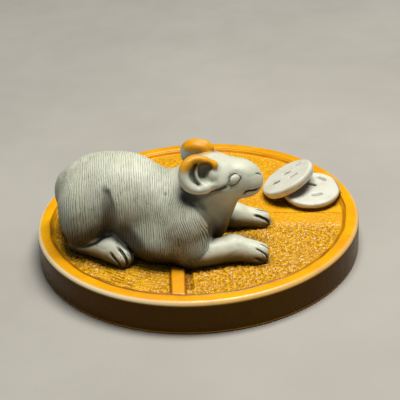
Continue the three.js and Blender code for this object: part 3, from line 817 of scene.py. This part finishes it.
# Strokes cut into each coin: start, end, half width, depth and darkness of the painted shade in them
COIN_STROKES = [
    [
        ((-0.9, 3.4), (1.9, 2), 0.75, 0.8, 1),
        ((4, 7.8), (6.5, 5.5), 0.85, 0.55, 0.6),
        ((0.5, -5.3), (3.6, -4.9), 0.95, 0.55, 0.55),
        ((-7.6, 1.6), (-6.6, -1.4), 0.6, 0.4, 0.4),
    ],
    [
        ((-6.5, -0.9), (-4.2, -1.3), 0.85, 0.75, 0.85),
        ((-0.6, 2.6), (1.5, 2.5), 0.7, 0.75, 0.85),
        ((2, -3.4), (4.4, -3.2), 0.9, 0.5, 0.5),
        ((5.4, 5.4), (7.2, 5.2), 0.7, 0.45, 0.45),
    ],
]
# Where a coin's flat face ends, and its side as radius and height
COIN_FLAT = 11.4
COIN_SIDE = [
    (11.6, -0.03), (12, -0.15), (12.32, -0.42), (12.5, -0.9), (12.5, -1.6), (12.42, -2),
    (12.2, -2.2), (12.1, -2.5), (12.15, -3.2), (11.9, -3.6), (11.5, -3.8),
]


def coin_cuts(local, number):
    """Depth of the strokes at points of a coin, and how dark the painted shade in them is."""
    depth, dark = np.zeros((2, len(local)))
    flat = local * [1, 1, 0]
    for start, end, half, deep, darkness in COIN_STROKES[number]:
        away, _ = from_line(flat, [[*start, 0], [*end, 0]])
        stroke = step_up(half + 0.25, half - 0.2, away)
        depth = np.maximum(depth, deep * stroke)
        dark = np.maximum(dark, darkness * stroke)
    return depth, dark


def tilt_axes(normal):
    """Axes that carry +Z the shortest way to the normal."""
    up = np.array(normal, float)
    up /= np.linalg.norm(up)
    side = np.cross([0, 0, 1], up)
    cross = np.array([[0, -side[2], side[1]], [side[2], 0, -side[0]], [-side[1], side[0], 0]])
    return np.eye(3) + cross + cross @ cross / (1 + up[2]), up


def build_coin(number):
    place, normal, _ = COINS[number]
    axes, up = tilt_axes(normal)
    lift = FIELD_HEIGHT + COIN_RADIUS * math.hypot(up[0], up[1]) + COIN_THICKNESS * up[2]
    centre = np.array([*place, lift])
    top = [(radius, 0.0) for radius in np.arange(COIN_FACET, COIN_FLAT, COIN_FACET)]
    rings = [ring(0, 0, 1)]
    rings += [ring(radius, height, COIN_SEGMENTS) for radius, height in top + COIN_SIDE]
    rings.append(ring(0, -COIN_THICKNESS, 1))
    vertices, faces = ringed(rings)
    face = vertices[:, 2] > -0.01
    cuts, _ = coin_cuts(vertices, number)
    vertices[:, 2] += 0.08 * noise(vertices, 3.0, 6.6) - cuts * face
    body = mesh_object(f"coin_{number}", vertices @ axes.T + centre, faces)
    return body, centre, axes


def build_stem(number, centre, axes):
    """Fills the gap below a coin up to the inside of the coin."""
    middle, radius = STEMS[number]
    low = FIELD_HEIGHT - 1.5
    rings = [ring(0, low, 1)]
    rings += [ring(radius, low, COIN_SEGMENTS // 2) for _ in range(STEM_STEPS)]
    rings.append(ring(0, low, 1))
    for step, points in enumerate(rings):
        points += [*middle, 0]
        slope = (points - centre)[:, :2] @ axes[:2, 2] / axes[2, 2]
        top = centre[2] - slope - COIN_THICKNESS / 2
        points[:, 2] += (top - low) * min(max(step - 1, 0) / (STEM_STEPS - 1), 1)
    vertices, faces = ringed(rings[::-1])
    return mesh_object("stem", vertices, faces)


def united(base, other):
    applied(base, "BOOLEAN", operation="UNION", solver="MANIFOLD", object=other)
    bpy.data.objects.remove(other)


def build_stone():
    thing, shape, marks = build_figure()
    stone = build_disc()
    coins = []
    for number in range(len(COINS)):
        body, centre, axes = build_coin(number)
        coins.append((centre, axes))
        united(stone, build_stem(number, centre, axes))
        united(stone, body)
    united(stone, thing)
    stone.name = "carved_rat_with_coins_stone"
    stone.data.name = stone.name
    return stone, shape, marks, coins


# What each spot of the surface is, and the light and shade painted on it, for its colour

# The height in the rat where its ears turn ochre
EAR_LEVEL = 41.5
# The middle of the painted shadow line round the rim
RIM_LINE_RADIUS = 64.0


def coin_looks(points, coins):
    """Shares of the coins' pale layer, the stone below it, the painted shade in strokes, and what lies
    close by.
    """
    pale, coin_underlayer_shade, stroke_shade, close = np.zeros((4, len(points)))
    for number, (centre, axes) in enumerate(coins):
        offset = (points - centre) @ axes
        wide = radius_of(offset)
        held = (wide < COIN_RADIUS + 0.5) & (offset[:, 2] < 0.6) & (points[:, 2] > FIELD_HEIGHT + 0.5)
        layer = COINS[number][2] + 0.25 * noise(points, 3.0, 2.9) + offset[:, 2]
        pale = np.maximum(pale, held * step_up(-0.2, 0.2, layer))
        # The ochre layer below the pale one, and the stone under the coins, painted dark brown as in shade
        coin_underlayer_shade = np.maximum(coin_underlayer_shade, held * step_up(0.2, -0.2, layer))
        _, dark = coin_cuts(offset, number)
        stroke_shade = np.maximum(stroke_shade, dark * held * (offset[:, 2] > -1.2))
        close = np.maximum(close, step_up(14.5, 12.0, wide))
    return pale, coin_underlayer_shade * (1 - pale), stroke_shade, close


def disc_looks(points, normals):
    """The painted shadow line round the rim, the polished rim, painted shade on the side and a painted
    highlight on the edge.
    """
    reach = radius_of(points)
    # A painted shadow line along the inner edge of the rim, wider towards the front
    line_width = 1.0 - 0.5 * step_up(-5, 35, points[:, 1])
    from_rim = np.abs(reach - RIM_LINE_RADIUS - RIM_WAVER * noise(points, 7.0, 4.9)) / line_width
    rim_shadow_line = step_up(1.0, 0.4, from_rim) * (0.8 + 0.3 * noise(points, 5.0, 7.7))
    rim_shadow_line = rim_shadow_line * line_width * (points[:, 2] > RIM_STEP[0][1])
    # A painted highlight on the rounded top edge, whiter towards the left
    edge = step_up(0.97, 0.85, normals[:, 2]) * step_up(0.1, 0.35, normals[:, 2]) * (reach > 66.5)
    edge = edge * (0.3 + 0.7 * step_up(15, -40, points[:, 0]))
    return rim_shadow_line, {
        "polish": step_up(FIELD_RADIUS + 0.5, FIELD_RADIUS + 1.6, reach),
        # Painted shade on the disc's upright side
        "side": step_up(0.45, 0.1, np.abs(normals[:, 2])) * (reach > DISC_RADIUS - 0.8),
        "edge": edge,
    }


def rat_looks(local, normals, shape, marks, on_figure):
    """Grey, fur and spots of the rat, and its painted shade in hollows, lines, ear-cap borders and low
    parts.
    """
    height, upright = local[:, 2], normals[:, 2]
    ear_line = height - EAR_LEVEL + 0.1 * (local[:, 0] - 1) - 0.04 * local[:, 1]
    ear_cap = step_up(-0.25, 0.25, ear_line + 0.35 * noise(local, 3.0))
    foot_edge = step_up(0.1, 1.0, height + 0.4 * noise(local, 2.5, 8.0))
    on_ear = np.max([step_up(0.9, 0.3, one(local)) for one, _ in EARS], 0)
    grey = on_figure * (1 - ear_cap * on_ear) * foot_edge
    # Painted shade in the hollows: darker where the rat's own shape lies close in front of the surface
    hollow = np.zeros(len(local))
    for away in (1.2, 3.0, 6.0):
        hollow += 0.5 * np.clip(1 - shape(local + normals * away) / away, 0, 1)
    # Painted shade along the listed shade lines, kept off the hind foot
    shade_from_lines = painted_shade_at(local) * step_up(0.3, 1.3, HIND_FOOT(local))
    hollow = np.maximum(hollow * (1 - 0.4 * on_ear), shade_from_lines)
    amount, strands = fur_of(local)
    # Painted shade: darker on downward-facing parts, towards the bottom of the rat and on its lower fur
    low = 0.8 * step_up(0.5, -0.2, upright) * step_up(34, 12, height)
    low = on_figure * (low + 0.2 * step_up(0.3, -0.4, upright) * step_up(22, 8, height))
    low = np.maximum(low, 0.72 * on_figure * amount * step_up(19, 5, height))
    spots = np.zeros(len(local))
    for place, size in INCLUSIONS:
        away = np.linalg.norm(local - place, axis=1) + 0.3 * noise(local, 0.8)
        spots = np.maximum(spots, step_up(size, 0.4 * size, away))
    line_side, painted_line_shade = drawn_lines(local, normals, marks)
    return grey, hollow * on_figure, {
        "fur": amount * on_figure * (0.65 + 0.35 * step_up(30, 12, height)),
        "strands": strands,
        "line_side": line_side,
        "painted_line_shade": painted_line_shade * on_figure,
        # A painted shadow along the lower border of the ochre cap on the ears
        "cap_border_shadow": np.exp(-(ear_line / 0.5) ** 2) * on_ear,
        "low": low,
        "spot": spots * on_figure,
    }


def describe(stone, shape, marks, coins):
    """Writes on every vertex its layer of stone, its painted shade, shadow and highlight, and how the fur
    runs.
    """
    points, normals = points_of(stone.data), normals_of(stone.data)
    local = points - FIGURE_PLACE
    figure_gap = shape(local)
    on_figure = step_up(0.9, 0.4, figure_gap) * step_up(-0.6, -0.1, local[:, 2])
    coin, coin_underlayer_shade, coin_stroke_shade, near_coin = coin_looks(points, coins)
    coin *= on_figure < 0.5
    grey, hollow, rat = rat_looks(local, normals, shape, marks, on_figure)
    rim_shadow_line, disc = disc_looks(points, normals)
    reach = radius_of(points)
    _, field_pit_shade, rough = field_relief(points)
    rise = points[:, 2] - FIELD_HEIGHT
    on_field = (rise > -1.4) & (rise < 1.2) & (reach < FIELD_RADIUS)
    in_field = on_field * (on_figure < 0.5) * step_up(FIELD_RADIUS, FIELD_RADIUS - FIELD_MARGIN, reach)
    # A painted contact shadow on the field next to the rat and the coins
    contact_shadow = 0.7 * on_field * np.maximum(step_up(3.0, 0.0, figure_gap), 0.8 * near_coin)
    looks = {
        "grey": np.maximum(grey, coin),
        "coin": coin,
        "coin_underlayer_shade": coin_underlayer_shade,
        "marks": np.clip(coin_stroke_shade, 0, 1),
        "hollow": np.clip(np.maximum(hollow, contact_shadow), 0, 1),
        # Painted shade in the field's pits and slot, and the painted shadow line round the rim
        "pit_shade": np.clip(np.maximum(field_pit_shade * in_field, rim_shadow_line), 0, 1),
        "rough": rough * in_field,
        **rat,
        **disc,
    }
    for name, values in looks.items():
        layer = stone.data.attributes.new(name, "FLOAT", "POINT")
        layer.data.foreach_set("value", np.asarray(values, np.float32))


# Materials

def colour(red, green, blue):
    """A colour from its shown shares of 255."""
    linear = [((part / 255 + 0.055) / 1.055) ** 2.4 if part > 10 else part / 255 / 12.92
              for part in (red, green, blue)]
    return (*linear, 1.0)


class Nodes:
    """A short way to write the nodes of a material."""

    def __init__(self, name):
        self.material = bpy.data.materials.new(name)
        self.material.use_nodes = True
        self.tree = self.material.node_tree
        self.tree.nodes.clear()

    def add(self, kind, settings=None, **inputs):
        node = self.tree.nodes.new("ShaderNode" + kind)
        for key, value in (settings or {}).items():
            setattr(node, key, value)
        for key, value in inputs.items():
            self.put(node, key.replace("_", " "), value)
        return node

    def put(self, node, key, value):
        """Links a socket, or sets it to a constant."""
        socket = node.inputs[key]
        if isinstance(value, bpy.types.NodeSocket):
            self.tree.links.new(value, socket)
        else:
            socket.default_value = value

    def value(self, name):
        return self.add("Attribute", {"attribute_name": name}).outputs["Fac"]

    def math(self, operation, a, b=0.0, c=0.0):
        node = self.add("Math", {"operation": operation})
        for index, value in enumerate((a, b, c)):
            self.put(node, index, value)
        return node.outputs[0]

    def times(self, a, b):
        return self.math("MULTIPLY", a, b)

    def ramp(self, value, low, high, start=0.0, end=1.0):
        node = self.add("MapRange", {"interpolation_type": "SMOOTHSTEP"}, Value=value,
                        From_Min=low, From_Max=high, To_Min=start, To_Max=end)
        return node.outputs["Result"]

    def mixed(self, share, a, b):
        """The colour a, turned into b by the share."""
        node = self.add("Mix", {"data_type": "RGBA", "blend_type": "MIX"})
        for index, value in ((0, share), (6, a), (7, b)):
            self.put(node, index, value)
        return node.outputs[2]

    def tinted(self, base, tints, **shares):
        """The base colour with tints over it, each as strong as its share times its strength."""
        for name, strength, tint in tints:
            share = shares[name] if name in shares else self.value(name)
            base = self.mixed(self.times(share, strength), base, colour(*tint))
        return base

    def noise(self, vector, scale, detail=4.0, roughness=0.55, distortion=0.0):
        node = self.add("TexNoise", Vector=vector, Scale=scale, Detail=detail, Roughness=roughness,
                        Distortion=distortion)
        return node.outputs["Fac"]

    def scaled(self, vector, factors):
        return self.add("Mapping", Vector=vector, Scale=factors).outputs["Vector"]


# The colours that each kind of stone drifts between
OCHRE = [colour(236, 160, 0), colour(246, 180, 4), colour(216, 132, 0), colour(200, 112, 0)]
GREY = [colour(216, 217, 194), colour(226, 228, 208), colour(194, 192, 162)]
COIN_FACE = [colour(222, 222, 208), colour(208, 204, 182)]
# Tints over the ochre, the grey and all of the stone: name of the share, strength and colour
# Over the ochre: the stippled field's own yellower tone, a painted highlight on the rim's rounded edge and
# painted shade on the disc's upright side
OCHRE_TINTS = [("rough", 0.6, (250, 194, 16)), ("edge", 0.85, (255, 240, 198)), ("side", 0.93, (56, 32, 4))]
# Over the grey: painted shade in the grooves of the fur and on the rat's low, downward parts
GREY_TINTS = [("valley", 0.86, (86, 80, 50)), ("low", 0.94, (51, 51, 33))]
# Over all the stone: grain and spot are its own; the others are painted shade and shadow, the coins' lower
# layer painted dark as in shade
STONE_TINTS = [
    ("coin_underlayer_shade", 0.95, (92, 52, 8)),
    ("cap_border_shadow", 0.45, (150, 76, 10)),
    ("grain", 0.3, (186, 124, 6)),
    ("pit_shade", 0.82, (116, 62, 2)),
    ("marks", 0.9, (58, 50, 26)),
    ("line", 0.9, (44, 38, 20)),
    ("spot", 0.8, (110, 72, 40)),
    ("hollow", 0.88, (30, 26, 14)),
]


def stone_material():
    n = Nodes("layered_stone")
    place = n.add("TexCoord").outputs["Object"]
    broad = n.noise(place, 38.0, 3.0)
    middle = n.noise(place, 170.0, 5.0)
    fine = n.noise(place, 1100.0, 4.0)
    layers = n.noise(n.scaled(place, (12.0, 12.0, 260.0)), 1.0, 4.0, 0.6, 0.4)

    ochre = n.mixed(n.ramp(broad, 0.35, 0.7), OCHRE[0], OCHRE[1])
    ochre = n.mixed(n.ramp(middle, 0.45, 0.75, 0.0, 0.4), ochre, OCHRE[2])
    ochre = n.mixed(n.ramp(layers, 0.5, 0.72, 0.0, 0.35), ochre, OCHRE[3])
    ochre = n.tinted(ochre, OCHRE_TINTS)

    grey = n.mixed(n.ramp(broad, 0.35, 0.7), GREY[0], GREY[1])
    grey = n.mixed(n.ramp(middle, 0.42, 0.75, 0.0, 0.5), grey, GREY[2])
    coin_face = n.mixed(n.ramp(middle, 0.4, 0.75), *COIN_FACE)
    grey = n.mixed(n.value("coin"), grey, coin_face)
    # Painted shade in the grooves between the strands of fur, broken up along them
    valley = n.math("ABSOLUTE", n.math("SINE", n.times(n.value("strands"), math.pi)))
    valley = n.times(n.ramp(valley, 0.7, 0.0), n.value("fur"))
    broken = n.ramp(n.noise(n.scaled(place, (900.0, 300.0, 300.0)), 1.0, 3.0), 0.3, 0.7, 0.25, 1.0)
    valley = n.times(valley, broken)
    grey = n.tinted(grey, GREY_TINTS, valley=valley)

    cells = n.add("TexVoronoi", {"feature": "F1"}, Vector=place, Scale=900.0, Randomness=1.0)
    grain = n.times(n.ramp(cells.outputs["Distance"], 0.25, 0.75), n.value("rough"))
    # Painted shade along the rat's cut lines
    line = n.ramp(n.math("ABSOLUTE", n.value("line_side")), 1.1, 0.15)
    line = n.times(line, n.value("painted_line_shade"))
    base = n.tinted(n.mixed(n.value("grey"), ochre, grey), STONE_TINTS, grain=grain, line=line)

    rough = n.ramp(middle, 0.3, 0.75, 0.4, 0.54)
    rough = n.times(rough, n.ramp(n.value("polish"), 0.0, 1.0, 1.0, 0.6))
    rough = n.math("MULTIPLY_ADD", n.value("rough"), -0.16, rough)
    rough = n.math("MULTIPLY_ADD", valley, 0.2, rough)
    height = n.math("MULTIPLY_ADD", fine, 0.08, n.times(middle, 0.12))
    for share, depth in ((valley, -0.4), (grain, -0.42), (line, -0.35)):
        height = n.math("MULTIPLY_ADD", share, depth, height)
    bump = n.add("Bump", Strength=0.6, Distance=0.001, Height=height).outputs["Normal"]
    surface = n.add(
        "BsdfPrincipled", Base_Color=base, Roughness=rough, Normal=bump, IOR=1.5,
        Specular_IOR_Level=n.ramp(n.value("side"), 0.0, 1.0, 0.5, 0.06), Subsurface_Weight=0.08,
        Subsurface_Radius=(0.003, 0.002, 0.001), Subsurface_Scale=1.0,
    )
    n.add("OutputMaterial", Surface=surface.outputs[0])
    return n.material


def floor_material():
    n = Nodes("pale_floor")
    place = n.add("TexCoord").outputs["Object"]
    tint = n.mixed(n.ramp(n.noise(place, 9.0), 0.3, 0.7), colour(172, 167, 158), colour(180, 175, 166))
    bump = n.add("Bump", Strength=0.1, Distance=0.001, Height=n.noise(place, 400.0)).outputs["Normal"]
    rough = n.ramp(n.noise(place, 60.0), 0.3, 0.7, 0.6, 0.75)
    surface = n.add("BsdfPrincipled", Base_Color=tint, Roughness=rough, Normal=bump)
    n.add("OutputMaterial", Surface=surface.outputs[0])
    return n.material


# The stage

def build_stage():
    """A floor that bends up behind the stone, in metres."""
    side, back, rise, bend = 3.0, 1.6, 1.8, 0.6
    profile = [(-side, 0.0), (back, 0.0)]
    for angle in np.linspace(0, math.pi / 2, 17)[1:]:
        profile.append((back + bend * math.sin(angle), bend - bend * math.cos(angle)))
    profile.append((back + bend, rise))
    vertices = [(x, y, z) for x in (-side, side) for y, z in profile]
    count = len(profile)
    faces = [[i, i + count, i + count + 1, i + 1] for i in range(count - 1)]
    floor = mesh_object("floor", np.array(vertices) / MM, faces)
    floor.data.shade_smooth()
    floor.data.materials.append(floor_material())


def build_light():
    """One soft light overhead."""
    place, target = Vector((0.12, 0.04, 0.8)), Vector((0, 0, 0.02))
    data = bpy.data.lights.new("key", "AREA")
    data.shape = "RECTANGLE"
    data.size, data.size_y = 0.3, 0.5
    data.energy = 8.4
    data.color = (1.0, 0.98, 0.94)
    light = bpy.data.objects.new("key", data)
    light.location = place
    light.rotation_euler = (place - target).to_track_quat("Z", "Y").to_euler()
    bpy.context.collection.objects.link(light)


def build_camera():
    """The photo's view: from the front, 29 degrees up and turned a little about the line of sight."""
    rise = math.radians(29.044)
    roll = math.radians(-3.266)
    distance = 0.6
    target = np.array([0.00138, 0.012737, 0.01506])
    back = np.array([0, -math.cos(rise), math.sin(rise)])
    level = np.array([1.0, 0, 0])
    upright = np.cross(level, -back)
    right = math.cos(roll) * level + math.sin(roll) * upright
    above = math.cos(roll) * upright - math.sin(roll) * level
    data = bpy.data.cameras.new("camera")
    data.sensor_width = 36.0
    data.lens = 121.19
    data.clip_start = 0.01
    camera = bpy.data.objects.new("camera", data)
    axes = np.eye(4)
    axes[:3] = np.stack([right, above, back, target + back * distance], 1)
    camera.matrix_world = Matrix(axes.tolist())
    bpy.context.collection.objects.link(camera)
    bpy.context.scene.camera = camera


def build_world():
    world = bpy.data.worlds.new("studio")
    world.use_nodes = True
    backdrop = world.node_tree.nodes["Background"]
    backdrop.inputs["Color"].default_value = (0.7, 0.92, 1.0, 1.0)
    backdrop.inputs["Strength"].default_value = 0.1
    bpy.context.scene.world = world
    bpy.context.scene.view_settings.view_transform = "Standard"


def main():
    stone, shape, marks, coins = build_stone()
    describe(stone, shape, marks, coins)
    stone.data.materials.clear()
    stone.data.shade_smooth()
    stone.data.set_sharp_from_angle(angle=math.radians(50))
    stone.data.materials.append(stone_material())
    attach(stone, "root")
    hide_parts("carved_rat_with_coins")
    build_stage()
    build_camera()
    build_world()
    build_light()


main()
